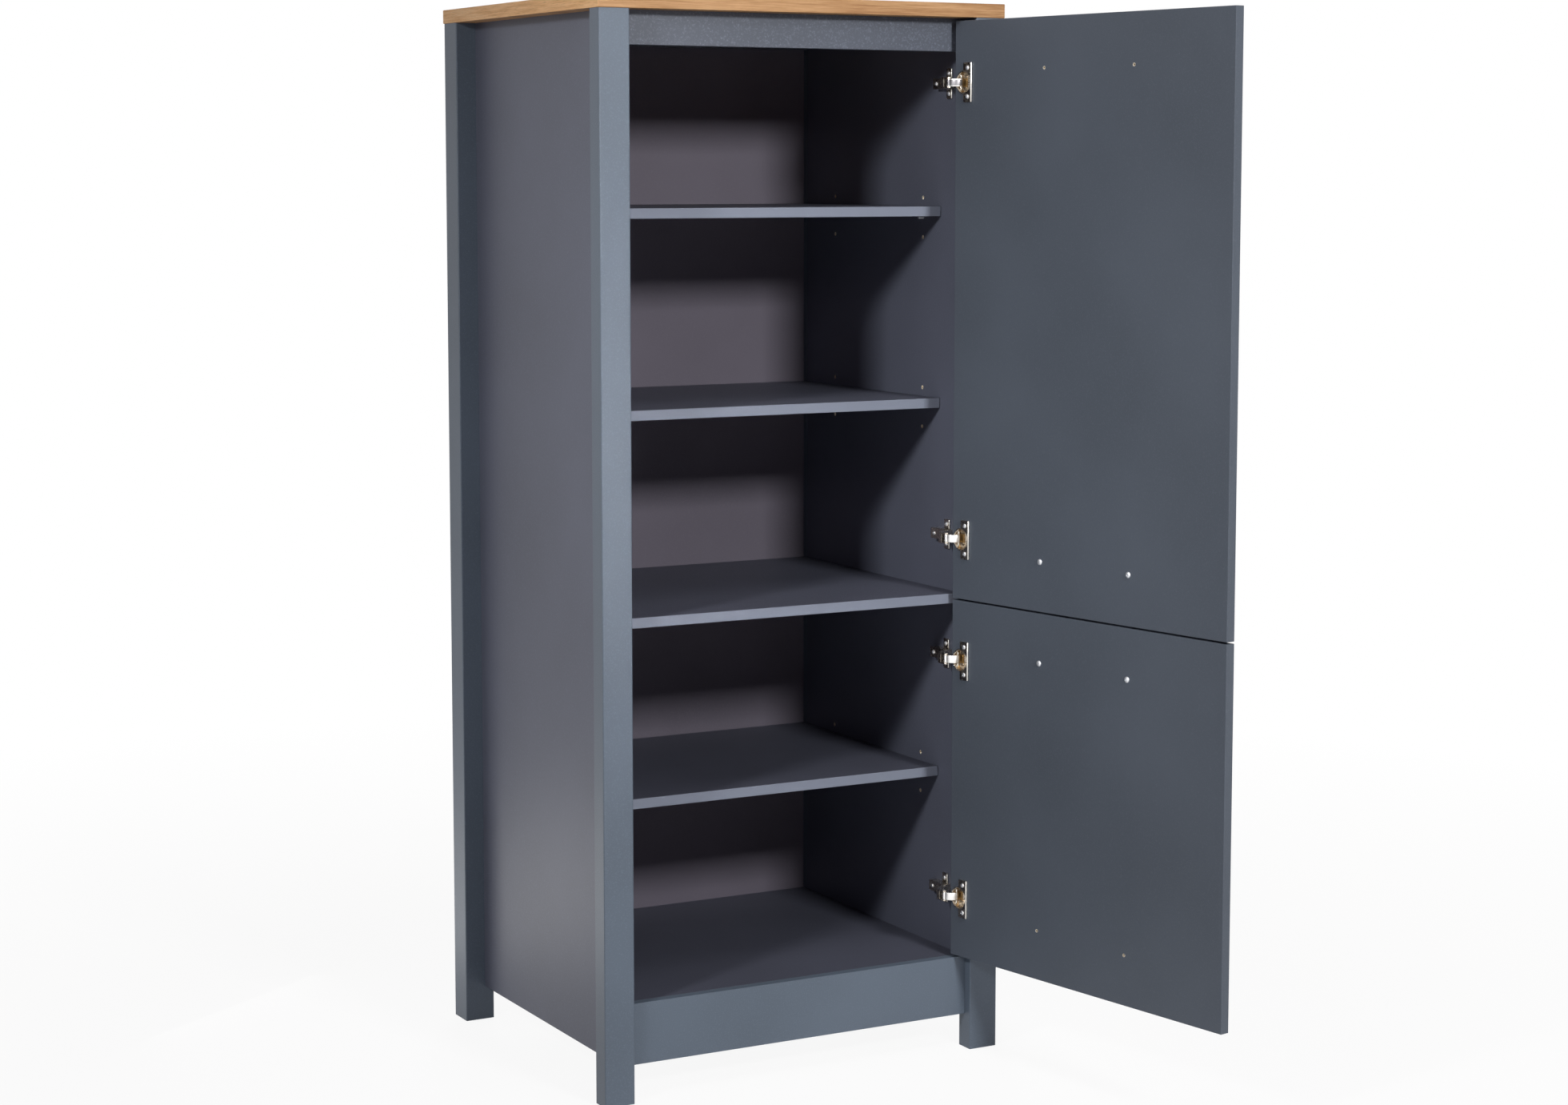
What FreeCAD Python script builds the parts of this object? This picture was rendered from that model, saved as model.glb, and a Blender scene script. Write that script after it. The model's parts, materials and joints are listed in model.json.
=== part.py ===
import FreeCAD, Part
import Sketcher
import os
import re

# A tall storage cabinet on four legs, with two doors hinged on its right side and standing open.
# Millimetres, +X right, +Y back, +Z up. The origin is on the floor, at the centre of the four legs.

# Driving dimensions: the cabinet's frame and boards
cabinet_width = 704
cabinet_depth = 594
leg_height = 1660
leg_width = 50
front_leg_depth = 34
rear_leg_depth = 50
leg_rounding = 2
top_thickness = 22
top_overhang = 2
top_rounding = 1.2
board_thickness = 16
board_clearance = 56
apron_height = 96
apron_setback = 16
rail_height = 52
rear_rail_height = 32
back_thickness = 3
back_inset = 14
back_groove_depth = 6
back_groove_play = 0.1

# Driving dimensions: shelves and their pins
fixed_shelf_rise = 5
upper_shelf_height = 619
middle_shelf_height = 310
lower_shelf_height = 298
shelf_setback = 68
shelf_side_gap = 1
shelf_back_gap = 2
pin_diameter = 5
pin_in_wall = 9
pin_under_shelf = 9
pin_hole_depth = 10
pin_hole_play = 0.1
pin_pitch = 32
pin_front_inset = 56
pin_row_spacing = 288

# Driving dimensions: dowels and small screws
dowel_diameter = 8
dowel_length = 32
dowel_in_face = 11
dowel_play = 0.1
dowel_end_play = 0.5
dowel_end_distance = 90
back_screw_diameter = 3
back_screw_length = 18
back_screw_head = 7
back_screw_head_height = 1.6
back_screw_spacing = 240

# Driving dimensions: doors and handles
door_thickness = 16
door_setback = 16
door_side_gap = 4
door_end_gap = 5
door_between_gap = 3
lower_door_height = 580
door_rounding = 1
door_open_angle = 100
pivot_edge = 6
pivot_depth = 2.5
handle_spacing = 192
handle_edge_distance = 78
handle_length = 232
handle_bar_diameter = 10
handle_post_diameter = 9
handle_standoff = 30
handle_screw_diameter = 4
handle_screw_depth = 10
handle_screw_head = 9.5
handle_screw_head_height = 2.4
handle_hole_play = 0.4
pilot_diameter = 4
pilot_depth = 6

# Driving dimensions: cup hinges
hinge_end_distance = 96
cup_diameter = 35
cup_depth = 12.5
cup_wall = 0.9
cup_edge_distance = 20.5
cup_rim = 1
cup_rim_thickness = 1
flange_thickness = 2
flange_height = 62
flange_width = 19
flange_rounding = 2.5
cup_screw_offset = 9.5
cup_screw_spacing = 45
cup_screw_diameter = 3.5
cup_screw_length = 12
cup_screw_head = 7
cup_screw_head_height = 1.6
plate_setback = 42
plate_front = 14
plate_rear = 30
plate_bar_width = 16
plate_bar_height = 8
plate_wing_height = 48
plate_wing_width = 14
plate_wing_thickness = 3
plate_screw_spacing = 32
plate_screw_diameter = 4
plate_screw_length = 14
plate_screw_head = 7.5
plate_screw_head_height = 2.2
arm_width = 17
arm_thickness = 6
arm_bend_rear = 12
arm_bend_front = 31
arm_bend_step = 4
arm_nose_radius = 4
arm_slot_width = 12.6
arm_slot_reach = 9
arm_pin_diameter = 3
arm_pin_reach = 24.7
arm_screw_setback = 20
arm_screw_diameter = 4
arm_screw_length = 11
arm_screw_head = 6.5
arm_screw_head_height = 2
cup_pin_edge = 9
cup_pin_depth = 4.4
link_width = 12
link_thickness = 2.6
link_eye_radius = 3.2
link_tip_radius = 1.5
link_bulge = 4.2
link_bore_play = 0.1
screw_hole_play = 0.1

# The sheet holds each driving dimension under its own name, and every expression below reads it there
DRIVING = {name: value for name, value in globals().items() if isinstance(value, (int, float))}
NODES = []
doc = FreeCAD.newDocument("storage_cabinet")
sheet = doc.addObject("Spreadsheet::Sheet", "Sizes")
for index, (name, value) in enumerate(DRIVING.items(), 1):
    sheet.set(f"A{index}", str(value))
    sheet.setAlias(f"A{index}", name)
doc.recompute()

# Places that several pieces share, written from the driving dimensions
half_width = "(cabinet_width / 2)"
half_depth = "(cabinet_depth / 2)"
inner_half = "(cabinet_width / 2 - leg_width)"
carcass_front = "(front_leg_depth - cabinet_depth / 2)"
rear_leg_front = "(cabinet_depth / 2 - rear_leg_depth)"
back_front = f"({rear_leg_front} + back_inset)"
side_height = "(leg_height - board_clearance)"
apron_front = "(apron_setback - cabinet_depth / 2)"
apron_rear = f"({apron_front} + board_thickness)"
floor_top = "(board_clearance + apron_height)"
rail_bottom = "(leg_height - rail_height)"
rear_rail_bottom = "(leg_height - rear_rail_height)"
shelf_front = f"({carcass_front} + shelf_setback)"
door_width = f"(2 * {inner_half} - 2 * door_side_gap)"
lower_door_bottom = f"({floor_top} + door_end_gap)"
upper_door_bottom = f"({lower_door_bottom} + lower_door_height + door_between_gap)"
upper_door_height = f"(leg_height - door_end_gap - {upper_door_bottom})"
fixed_shelf_top = f"({upper_door_bottom} + fixed_shelf_rise)"
pivot_x = f"({inner_half} - door_side_gap - pivot_edge)"
pivot_y = f"(door_setback + pivot_depth - {half_depth})"
door_outer = "(-pivot_depth)"
door_inner = "(door_thickness - pivot_depth)"
plate_line = f"({carcass_front} + plate_setback)"

# The hinge links: an arm pin on the cabinet, a tip that the cup carries round the door's pivot
cup_pin_x = "(pivot_edge - cup_pin_edge)"
cup_pin_y = f"({door_inner} - cup_pin_depth)"
cup_pin_reach = f"sqrt({cup_pin_x} ^ 2 + {cup_pin_y} ^ 2)"
half_opening = "(door_open_angle / 2 * 1 deg)"
arm_direction = f"(atan2({cup_pin_y}; {cup_pin_x}) + {half_opening})"
arm_pin_x = f"({pivot_x} + arm_pin_reach * cos({arm_direction}))"
arm_pin_y = f"({pivot_y} + arm_pin_reach * sin({arm_direction}))"
link_chord = (f"sqrt(arm_pin_reach ^ 2 + {cup_pin_reach} ^ 2"
              f" - 2 * arm_pin_reach * {cup_pin_reach} * cos({half_opening}))")
link_half_swing = f"asin({cup_pin_reach} * sin({half_opening}) / {link_chord})"
link_radius = f"(({link_chord} ^ 2 / 4 + link_bulge ^ 2) / (2 * link_bulge))"
link_half_angle = f"asin({link_chord} / 2 / {link_radius})"

UP = FreeCAD.Vector(0, 0, 1)
TURNS = {
    "x": FreeCAD.Rotation(UP, FreeCAD.Vector(1, 0, 0)),
    "-x": FreeCAD.Rotation(UP, FreeCAD.Vector(-1, 0, 0)),
    "y": FreeCAD.Rotation(UP, FreeCAD.Vector(0, 1, 0)),
    "-y": FreeCAD.Rotation(UP, FreeCAD.Vector(0, -1, 0)),
    "z": FreeCAD.Rotation(),
}


def formula(text):
    """Point each name of the sheet in an expression at its cell."""
    return re.sub(r"[a-z]\w*", lambda word: "Sizes." + word[0] if word[0] in DRIVING else word[0], text)


def number(text):
    """The present value of an expression."""
    value = sheet.evalExpression(formula(text))
    return float(getattr(value, "Value", value))


def bind(item, **formulas):
    for name, text in formulas.items():
        item.setExpression(name, formula(text))


def place(item, x, y, z):
    item.setExpression("Placement.Base.x", formula(x))
    item.setExpression("Placement.Base.y", formula(y))
    item.setExpression("Placement.Base.z", formula(z))
    return item


def box(name, length, width, height, x, y, z):
    """A box from its low corner."""
    item = doc.addObject("Part::Box", name)
    bind(item, Length=length, Width=width, Height=height)
    return place(item, x, y, z)


def rod(name, diameter, length, x, y, z, axis="z"):
    """A cylinder from the middle of its first end."""
    item = doc.addObject("Part::Cylinder", name)
    item.Placement.Rotation = TURNS[axis]
    bind(item, Radius=f"({diameter}) / 2", Height=length)
    return place(item, x, y, z)


def group(name, pieces):
    item = doc.addObject("Part::Compound", name)
    item.Links = pieces
    return item


def fuse(name, pieces):
    item = doc.addObject("Part::MultiFuse", name)
    item.Shapes = pieces
    return item


def cut(name, base, tools):
    item = doc.addObject("Part::Cut", name)
    item.Base = base
    item.Tool = group(name + "_tools", tools)
    return item


def screw(name, head, head_height, diameter, length, x, y, z, outward, inward):
    """A pan-head screw seated at a point, its head one way and its shank the other."""
    cap = rod(name + "_head", head, head_height, x, y, z, outward)
    shank = rod(name + "_shank", diameter, length, x, y, z, inward)
    return fuse(name, [cap, shank])


def rounded(name, base, radius, run=None):
    """Round a box's edges, all of them or those that run one way."""
    doc.recompute()
    reach = number(radius)
    edges = []
    for index, edge in enumerate(base.Shape.Edges, 1):
        along = edge.Vertexes[0].Point - edge.Vertexes[-1].Point
        if run is None or abs(getattr(along, run)) > along.Length / 2:
            edges.append((index, reach, reach))
    item = doc.addObject("Part::Fillet", name)
    item.Base = base
    item.Edges = edges
    return item


def profile(name, points, height):
    """A plate padded both ways from a sketched outline, given as pairs of expressions."""
    body = doc.addObject("PartDesign::Body", name)
    sketch = body.newObject("Sketcher::SketchObject", name + "_outline")
    plane = [item for item in body.Origin.OriginFeatures if item.Role == "XY_Plane"]
    sketch.AttachmentSupport = [(plane[0], "")]
    sketch.MapMode = "FlatFace"
    corners = [FreeCAD.Vector(number(across), number(along), 0) for across, along in points]
    for index, corner in enumerate(corners):
        sketch.addGeometry(Part.LineSegment(corner, corners[(index + 1) % len(corners)]), False)
    for index, (across, along) in enumerate(points):
        sketch.addConstraint(Sketcher.Constraint("Coincident", index, 2, (index + 1) % len(points), 1))
        for kind, text in (("DistanceX", across), ("DistanceY", along)):
            line = sketch.addConstraint(Sketcher.Constraint(kind, index, 1, number(text)))
            sketch.renameConstraint(line, f"{kind}_{index}")
            sketch.setExpression(f"Constraints.{kind}_{index}", formula(text))
    pad = body.newObject("PartDesign::Pad", name + "_pad")
    pad.Profile = sketch
    pad.Midplane = True
    pad.setExpression("Length", formula(height))
    return body


def node(item):
    """Keep a finished piece, labelled with its own name."""
    item.Label = item.Name
    NODES.append(item)


def row(low, high, count):
    """Evenly spaced expressions from one place to another."""
    return [f"({low} + ({high} - {low}) * {step} / {count - 1})" for step in range(count)]


def dowels(name, starts, axis):
    """Dowels and their bores: each starts in the face of one board and ends in the edge of another."""
    pegs = []
    bores = []
    away = {"x": (-1, 0, 0), "y": (0, -1, 0), "-y": (0, 1, 0), "z": (0, 0, -1)}[axis]
    for index, start in enumerate(starts):
        pegs.append(rod(f"{name}_peg_{index}", "dowel_diameter", "dowel_length", *start, axis))
        deeper = [f"({text}) + dowel_end_play * ({step})" for text, step in zip(start, away)]
        length = "dowel_length + 2 * dowel_end_play"
        bores.append(rod(f"{name}_bore_{index}", "dowel_diameter + 2 * dowel_play", length, *deeper, axis))
    return pegs, group(name + "_bores", bores)


def cross_dowels(name, alongs, heights):
    """Dowels along X, at both inner faces of the sides."""
    starts = []
    for along in alongs:
        for height in heights:
            starts.append((f"-{inner_half} - dowel_in_face", along, height))
            starts.append((f"{inner_half} + dowel_in_face - dowel_length", along, height))
    return dowels(name, starts, "x")


SIDE_DOWELS = 4
BOARD_DOWELS = 3
END_DOWELS = 2
side_levels = row("(board_clearance + dowel_end_distance)", "(leg_height - dowel_end_distance)", SIDE_DOWELS)
side_middle = f"({inner_half} + board_thickness / 2)"
front_starts = []
rear_starts = []
for side in ("-", ""):
    for level in side_levels:
        front_starts.append((side + side_middle, f"{carcass_front} - dowel_in_face", level))
        rear_starts.append((side + side_middle, f"{rear_leg_front} + dowel_in_face", level))
front_pegs, front_bores = dowels("side_front", front_starts, "y")
rear_pegs, rear_bores = dowels("side_rear", rear_starts, "-y")

board_ends = (f"({carcass_front} + dowel_end_distance)", f"({rear_leg_front} - dowel_end_distance)")
board_runs = row(*board_ends, BOARD_DOWELS)
board_levels = [f"({floor_top} - board_thickness / 2)", f"({fixed_shelf_top} - board_thickness / 2)"]
board_pegs, board_bores = cross_dowels("board", board_runs, board_levels)

rail_lines = [f"({carcass_front} + board_thickness / 2)", f"({back_front} - board_thickness / 2)"]
rail_levels = row(f"({rail_bottom} + rail_height / 4)", "(leg_height - rail_height / 4)", END_DOWELS)
rail_pegs, rail_bores = cross_dowels("rail", rail_lines[:1], rail_levels)
rear_rail_levels = row(f"({rear_rail_bottom} + rear_rail_height / 4)", "(leg_height - rear_rail_height / 4)",
                       END_DOWELS)
rear_rail_pegs, rear_rail_bores = cross_dowels("rear_rail", rail_lines[1:], rear_rail_levels)
apron_line = f"({apron_front} + board_thickness / 2)"
apron_levels = row("(board_clearance + apron_height / 4)", f"({floor_top} - apron_height / 4)", END_DOWELS)
apron_pegs, apron_bores = cross_dowels("apron", [apron_line], apron_levels)

top_starts = []
for side in ("-", ""):
    leg_middle = f"{side}({half_width} - leg_width / 2)"
    for leg_line in (f"(front_leg_depth / 2 - {half_depth})", f"({half_depth} - rear_leg_depth / 2)"):
        top_starts.append((leg_middle, leg_line, "leg_height + dowel_in_face - dowel_length"))
    for rail_line in rail_lines:
        top_starts.append((f"{side}{inner_half} / 2", rail_line, "leg_height + dowel_in_face - dowel_length"))
top_pegs, top_bores = dowels("top", top_starts, "z")

# Legs: front ones slim behind the door line, rear ones square and grooved for the back panel
panel_width = f"(2 * {inner_half} + 2 * back_groove_depth)"
groove = box("back_groove", f"{panel_width} + 2 * back_groove_play", "back_thickness + 2 * back_groove_play",
             f"leg_height - {floor_top} + board_thickness + back_groove_play",
             f"-{panel_width} / 2 - back_groove_play", f"{back_front} - back_groove_play",
             f"{floor_top} - board_thickness - back_groove_play")
for hand, x in (("left", f"-{half_width}"), ("right", f"{half_width} - leg_width")):
    front = box(f"leg_front_{hand}_bar", "leg_width", "front_leg_depth", "leg_height",
                x, f"-{half_depth}", "0")
    front = rounded(f"leg_front_{hand}_round", front, "leg_rounding", "z")
    node(cut(f"leg_front_{hand}", front, [front_bores, apron_bores, top_bores]))
    rear = box(f"leg_rear_{hand}_bar", "leg_width", "rear_leg_depth", "leg_height",
               x, rear_leg_front, "0")
    rear = rounded(f"leg_rear_{hand}_round", rear, "leg_rounding", "z")
    node(cut(f"leg_rear_{hand}", rear, [rear_bores, rear_rail_bores, top_bores, groove]))

# Top board, resting on the legs
top = box("top_blank", "cabinet_width + 2 * top_overhang", "cabinet_depth + top_overhang", "top_thickness",
          f"-{half_width} - top_overhang", f"-{half_depth} - top_overhang", "leg_height")
node(cut("top_board", rounded("top_round", top, "top_rounding"), [top_bores]))

# Loose shelves on pins, three holes to each pin so that a shelf can move up or down
SHELVES = (
    ("upper", f"({fixed_shelf_top} + upper_shelf_height)"),
    ("middle", f"({fixed_shelf_top} + middle_shelf_height)"),
    ("lower", f"({floor_top} + lower_shelf_height)"),
)
pin_lines = [f"({shelf_front} + pin_front_inset)", f"({shelf_front} + pin_front_inset + pin_row_spacing)"]
PIN_WALLS = (
    ("left", f"-{inner_half}", f"-{inner_half} - pin_in_wall", "x", "-x"),
    ("right", inner_half, f"{inner_half} + pin_in_wall", "-x", "x"),
)
pins = []
pin_holes = []
for shelf, top_height in SHELVES:
    pin_level = f"({top_height} - board_thickness - pin_diameter / 2)"
    node(box(f"loose_shelf_{shelf}", f"2 * {inner_half} - 2 * shelf_side_gap",
             f"{back_front} - shelf_back_gap - {shelf_front}", "board_thickness",
             f"shelf_side_gap - {inner_half}", shelf_front, f"{top_height} - board_thickness"))
    for line_index, line in enumerate(pin_lines):
        for hand, wall, pin_end, pin_axis, hole_axis in PIN_WALLS:
            name = f"pin_{shelf}_{line_index}_{hand}"
            pin_length = "pin_in_wall + pin_under_shelf"
            pins.append(rod(name, "pin_diameter", pin_length, pin_end, line, pin_level, pin_axis))
            for step in (-1, 0, 1):
                level = f"{pin_level} + pin_pitch * ({step})"
                hole = rod(f"{name}_hole_{step + 1}", "pin_diameter + 2 * pin_hole_play", "pin_hole_depth",
                           wall, line, level, hole_axis)
                pin_holes.append(hole)
node(group("shelf_pins", pins))
pin_bores = group("pin_bores", pin_holes)

# Boards between the legs
bottom = box("bottom_blank", f"2 * {inner_half}", f"{back_front} - {apron_rear}", "board_thickness",
             f"-{inner_half}", apron_rear, f"{floor_top} - board_thickness")
fixed = box("fixed_blank", f"2 * {inner_half}", f"{back_front} - {carcass_front}", "board_thickness",
            f"-{inner_half}", carcass_front, f"{fixed_shelf_top} - board_thickness")
apron = box("apron_blank", f"2 * {inner_half}", "board_thickness", "apron_height",
            f"-{inner_half}", apron_front, "board_clearance")
rail_front = box("rail_front_blank", f"2 * {inner_half}", "board_thickness", "rail_height",
                 f"-{inner_half}", carcass_front, rail_bottom)
rail_rear = box("rail_rear_blank", f"2 * {inner_half}", "board_thickness", "rear_rail_height",
                f"-{inner_half}", f"{back_front} - board_thickness", rear_rail_bottom)
back = box("back_blank", panel_width, "back_thickness", f"leg_height - {floor_top} + board_thickness",
           f"-{panel_width} / 2", back_front, f"{floor_top} - board_thickness")

# Screws that hold the back panel to the boards behind it
back_screws = []
back_holes = []
back_levels = [f"{floor_top} - board_thickness / 2", f"{fixed_shelf_top} - board_thickness / 2",
               "leg_height - rear_rail_height / 2"]
for level_index, level in enumerate(back_levels):
    for step in (-1, 0, 1):
        x = f"back_screw_spacing * ({step})"
        name = f"back_screw_{level_index}_{step + 1}"
        face = f"{back_front} + back_thickness"
        back_screws.append(screw(name, "back_screw_head", "back_screw_head_height", "back_screw_diameter",
                                 "back_screw_length", x, face, level, "y", "-y"))
        back_holes.append(rod(name + "_hole", "back_screw_diameter + 2 * screw_hole_play",
                              "back_screw_length + screw_hole_play", x, face, level, "-y"))
back_bores = group("back_bores", back_holes)
node(group("back_screws", back_screws))
node(cut("bottom_panel", bottom, [board_bores, back_bores]))
node(cut("fixed_shelf", fixed, [board_bores, back_bores]))
node(cut("apron_front", apron, [apron_bores]))
node(cut("top_rail_front", rail_front, [rail_bores, top_bores]))
node(cut("top_rail_rear", rail_rear, [rear_rail_bores, top_bores, back_bores]))
node(cut("back_panel", back, [back_bores]))

# Hinges: a plate and an arm on the right wall, a cup in the door and a link between them
HINGES = {
    "upper": {"top": f"({upper_door_bottom} + {upper_door_height} - hinge_end_distance)",
              "bottom": f"({upper_door_bottom} + hinge_end_distance)"},
    "lower": {"top": f"({lower_door_bottom} + lower_door_height - hinge_end_distance)",
              "bottom": f"({lower_door_bottom} + hinge_end_distance)"},
}
ON_DOOR = {"upper": [], "lower": []}


def hang(item, x, y, z, angle):
    """Stand a piece on an upright axis and turn it about that axis."""
    item.Placement.Rotation = FreeCAD.Rotation(UP, number(angle))
    item.setExpression("Placement.Rotation.Angle", formula(angle))
    return place(item, x, y, z)


def hinge_plate(tag, level, holes):
    bar = box(tag + "_bar", "plate_bar_height", "plate_front + plate_rear", "plate_bar_width",
              f"{inner_half} - plate_bar_height", f"{plate_line} - plate_front",
              f"{level} - plate_bar_width / 2")
    wing = box(tag + "_wing", "plate_wing_thickness", "plate_wing_width", "plate_wing_height",
               f"{inner_half} - plate_wing_thickness", f"{plate_line} - plate_wing_width / 2",
               f"{level} - plate_wing_height / 2")
    return cut(tag, fuse(tag + "_blank", [bar, wing]), holes)


def hinge_arm(tag, level, screw_hole):
    """The cranked arm, sketched in plan from the wall inwards and from the legs' front plane back."""
    seat = "plate_bar_height"
    outside = "(plate_bar_height + arm_thickness)"
    line = f"({plate_line} + {half_depth})"
    pin_across = f"({inner_half} - {arm_pin_x})"
    pin_along = f"({arm_pin_y} + {half_depth})"
    outline = [
        (seat, f"{line} + plate_rear"),
        (outside, f"{line} + plate_rear"),
        (outside, f"{line} - arm_bend_rear"),
        (f"{pin_across} + arm_nose_radius", f"{line} - arm_bend_front"),
        (f"{pin_across} + arm_nose_radius", pin_along),
        (f"{pin_across} - arm_nose_radius", pin_along),
        (f"{pin_across} - arm_nose_radius", f"{line} - arm_bend_front - arm_bend_step"),
        (seat, f"{line} - arm_bend_rear - arm_bend_step"),
    ]
    bar = profile(tag + "_bar", outline, "arm_width")
    bar.Placement.Rotation = FreeCAD.Rotation(FreeCAD.Vector(0, 1, 0), 180)
    place(bar, inner_half, f"-{half_depth}", level)
    pin_base = (arm_pin_x, arm_pin_y, f"{level} - arm_width / 2")
    nose = rod(tag + "_nose", "2 * arm_nose_radius", "arm_width", *pin_base)
    slot = box(tag + "_slot", "2 * arm_slot_reach", "2 * arm_slot_reach", "arm_slot_width",
               f"{arm_pin_x} - arm_slot_reach", f"{arm_pin_y} - arm_slot_reach",
               f"{level} - arm_slot_width / 2")
    bore = rod(tag + "_bore", "arm_pin_diameter", "arm_width", *pin_base)
    slotted = cut(tag + "_slotted", fuse(tag + "_blank", [bar, nose]), [slot])
    return cut(tag, slotted, [bore, screw_hole])


def hinge_link(tag, level):
    """A curved strip from the arm pin to its tip in the cup, laid out along +X from the arm pin."""
    low = "-link_width / 2"
    centre = (f"{link_chord} / 2", f"{link_radius} - link_bulge", low)
    outer = rod(tag + "_outer", f"2 * {link_radius} + link_thickness", "link_width", *centre)
    inner = rod(tag + "_inner", f"2 * {link_radius} - link_thickness", "link_width", *centre)
    for ring in (outer, inner):
        ring.setExpression("Angle", formula(f"2 * {link_half_angle}"))
        hang(ring, *centre, f"-90 deg - {link_half_angle}")
    strip = cut(tag + "_strip", outer, [inner])
    eye = rod(tag + "_eye", "2 * link_eye_radius", "link_width", "0", "0", low)
    tip = rod(tag + "_tip", "2 * link_tip_radius", "link_width", link_chord, "0", low)
    bore = rod(tag + "_bore", "arm_pin_diameter + link_bore_play", "link_width", "0", "0", low)
    link = cut(tag, fuse(tag + "_blank", [strip, eye, tip]), [bore])
    return hang(link, arm_pin_x, arm_pin_y, level, f"{arm_direction} + 180 deg - {link_half_swing}")


def hinge_cup(tag, level):
    """The cup, its rim and its screw flange, in the door's own frame: pivot at the origin, door shut."""
    cup_x = "(pivot_edge - cup_edge_distance)"
    screw_x = f"({cup_x} - cup_screw_offset)"
    shell = rod(tag + "_shell", "cup_diameter", "cup_depth", cup_x, door_inner, level, "-y")
    rim = rod(tag + "_rim", "cup_diameter + 2 * cup_rim", "cup_rim_thickness", cup_x, door_inner, level, "y")
    plate = box(tag + "_plate", "flange_width", "flange_thickness", "flange_height",
                f"{screw_x} - flange_width / 2", door_inner, f"{level} - flange_height / 2")
    flange = rounded(tag + "_flange", plate, "flange_rounding", "y")
    hollow = rod(tag + "_hollow", "cup_diameter - 2 * cup_wall", "cup_depth - cup_wall + flange_thickness",
                 cup_x, f"{door_inner} - cup_depth + cup_wall", level, "y")
    screws = []
    holes = []
    for end in (-1, 1):
        screw_level = f"{level} + ({end}) * cup_screw_spacing / 2"
        seat = f"{door_inner} + flange_thickness"
        name = f"{tag}_screw_{end + 1}"
        screws.append(screw(name, "cup_screw_head", "cup_screw_head_height", "cup_screw_diameter",
                            "cup_screw_length", screw_x, seat, screw_level, "y", "-y"))
        holes.append(rod(name + "_hole", "cup_screw_diameter + 2 * screw_hole_play",
                         "cup_screw_length + screw_hole_play", screw_x, seat, screw_level, "-y"))
    pocket = rod(tag + "_pocket", "cup_diameter + 2 * screw_hole_play", "cup_depth + screw_hole_play",
                 cup_x, door_inner, level, "-y")
    blank = fuse(tag + "_blank", [shell, rim, flange])
    return cut(tag, blank, [hollow] + holes), screws, [pocket] + holes


wall_holes = []
plate_screws = []
arm_screws = []
arm_pins = []
cup_screws = {"upper": [], "lower": []}
door_cuts = {"upper": [], "lower": []}
for leaf, ends in HINGES.items():
    for end, level in ends.items():
        place_name = f"{leaf}_{end}"
        plate_holes = []
        for step in (-1, 1):
            screw_level = f"{level} + ({step}) * plate_screw_spacing / 2"
            name = f"plate_screw_{place_name}_{step + 1}"
            seat = f"{inner_half} - plate_wing_thickness"
            point = (seat, plate_line, screw_level)
            plate_screws.append(screw(name, "plate_screw_head", "plate_screw_head_height",
                                      "plate_screw_diameter", "plate_screw_length", *point, "-x", "x"))
            plate_holes.append(rod(name + "_hole", "plate_screw_diameter + 2 * screw_hole_play",
                                   "plate_screw_length + screw_hole_play", *point, "x"))
        wall_holes.extend(plate_holes)
        arm_seat = f"{inner_half} - plate_bar_height - arm_thickness"
        arm_line = f"{plate_line} + arm_screw_setback"
        name = f"arm_screw_{place_name}"
        arm_screws.append(screw(name, "arm_screw_head", "arm_screw_head_height", "arm_screw_diameter",
                                "arm_screw_length", arm_seat, arm_line, level, "-x", "x"))
        arm_hole = rod(name + "_hole", "arm_screw_diameter + 2 * screw_hole_play",
                       "arm_screw_length + screw_hole_play", arm_seat, arm_line, level, "x")
        node(hinge_plate(f"hinge_plate_{place_name}", level, plate_holes + [arm_hole]))
        node(hinge_arm(f"hinge_arm_{place_name}", level, arm_hole))
        node(hinge_link(f"hinge_link_{place_name}", level))
        arm_pins.append(rod(f"arm_pin_{place_name}", "arm_pin_diameter", "arm_width", arm_pin_x, arm_pin_y,
                            f"{level} - arm_width / 2"))
        cup, screws, cuts = hinge_cup(f"hinge_cup_{place_name}", level)
        ON_DOOR[leaf].append(cup)
        cup_screws[leaf].extend(screws)
        door_cuts[leaf].extend(cuts)
node(group("plate_screws", plate_screws))
node(group("arm_screws", arm_screws))
node(group("arm_pins", arm_pins))

# Sides: boards between the front and the rear legs, flush with the legs' inner faces
for hand, x in (("left", f"-{inner_half} - board_thickness"), ("right", inner_half)):
    blank = box(f"side_{hand}_blank", "board_thickness", f"{rear_leg_front} - {carcass_front}", side_height,
                x, carcass_front, "board_clearance")
    tools = [front_bores, rear_bores, board_bores, rail_bores, pin_bores]
    if hand == "right":
        tools.append(group("wall_bores", wall_holes))
    node(cut(f"side_panel_{hand}", blank, tools))

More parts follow.
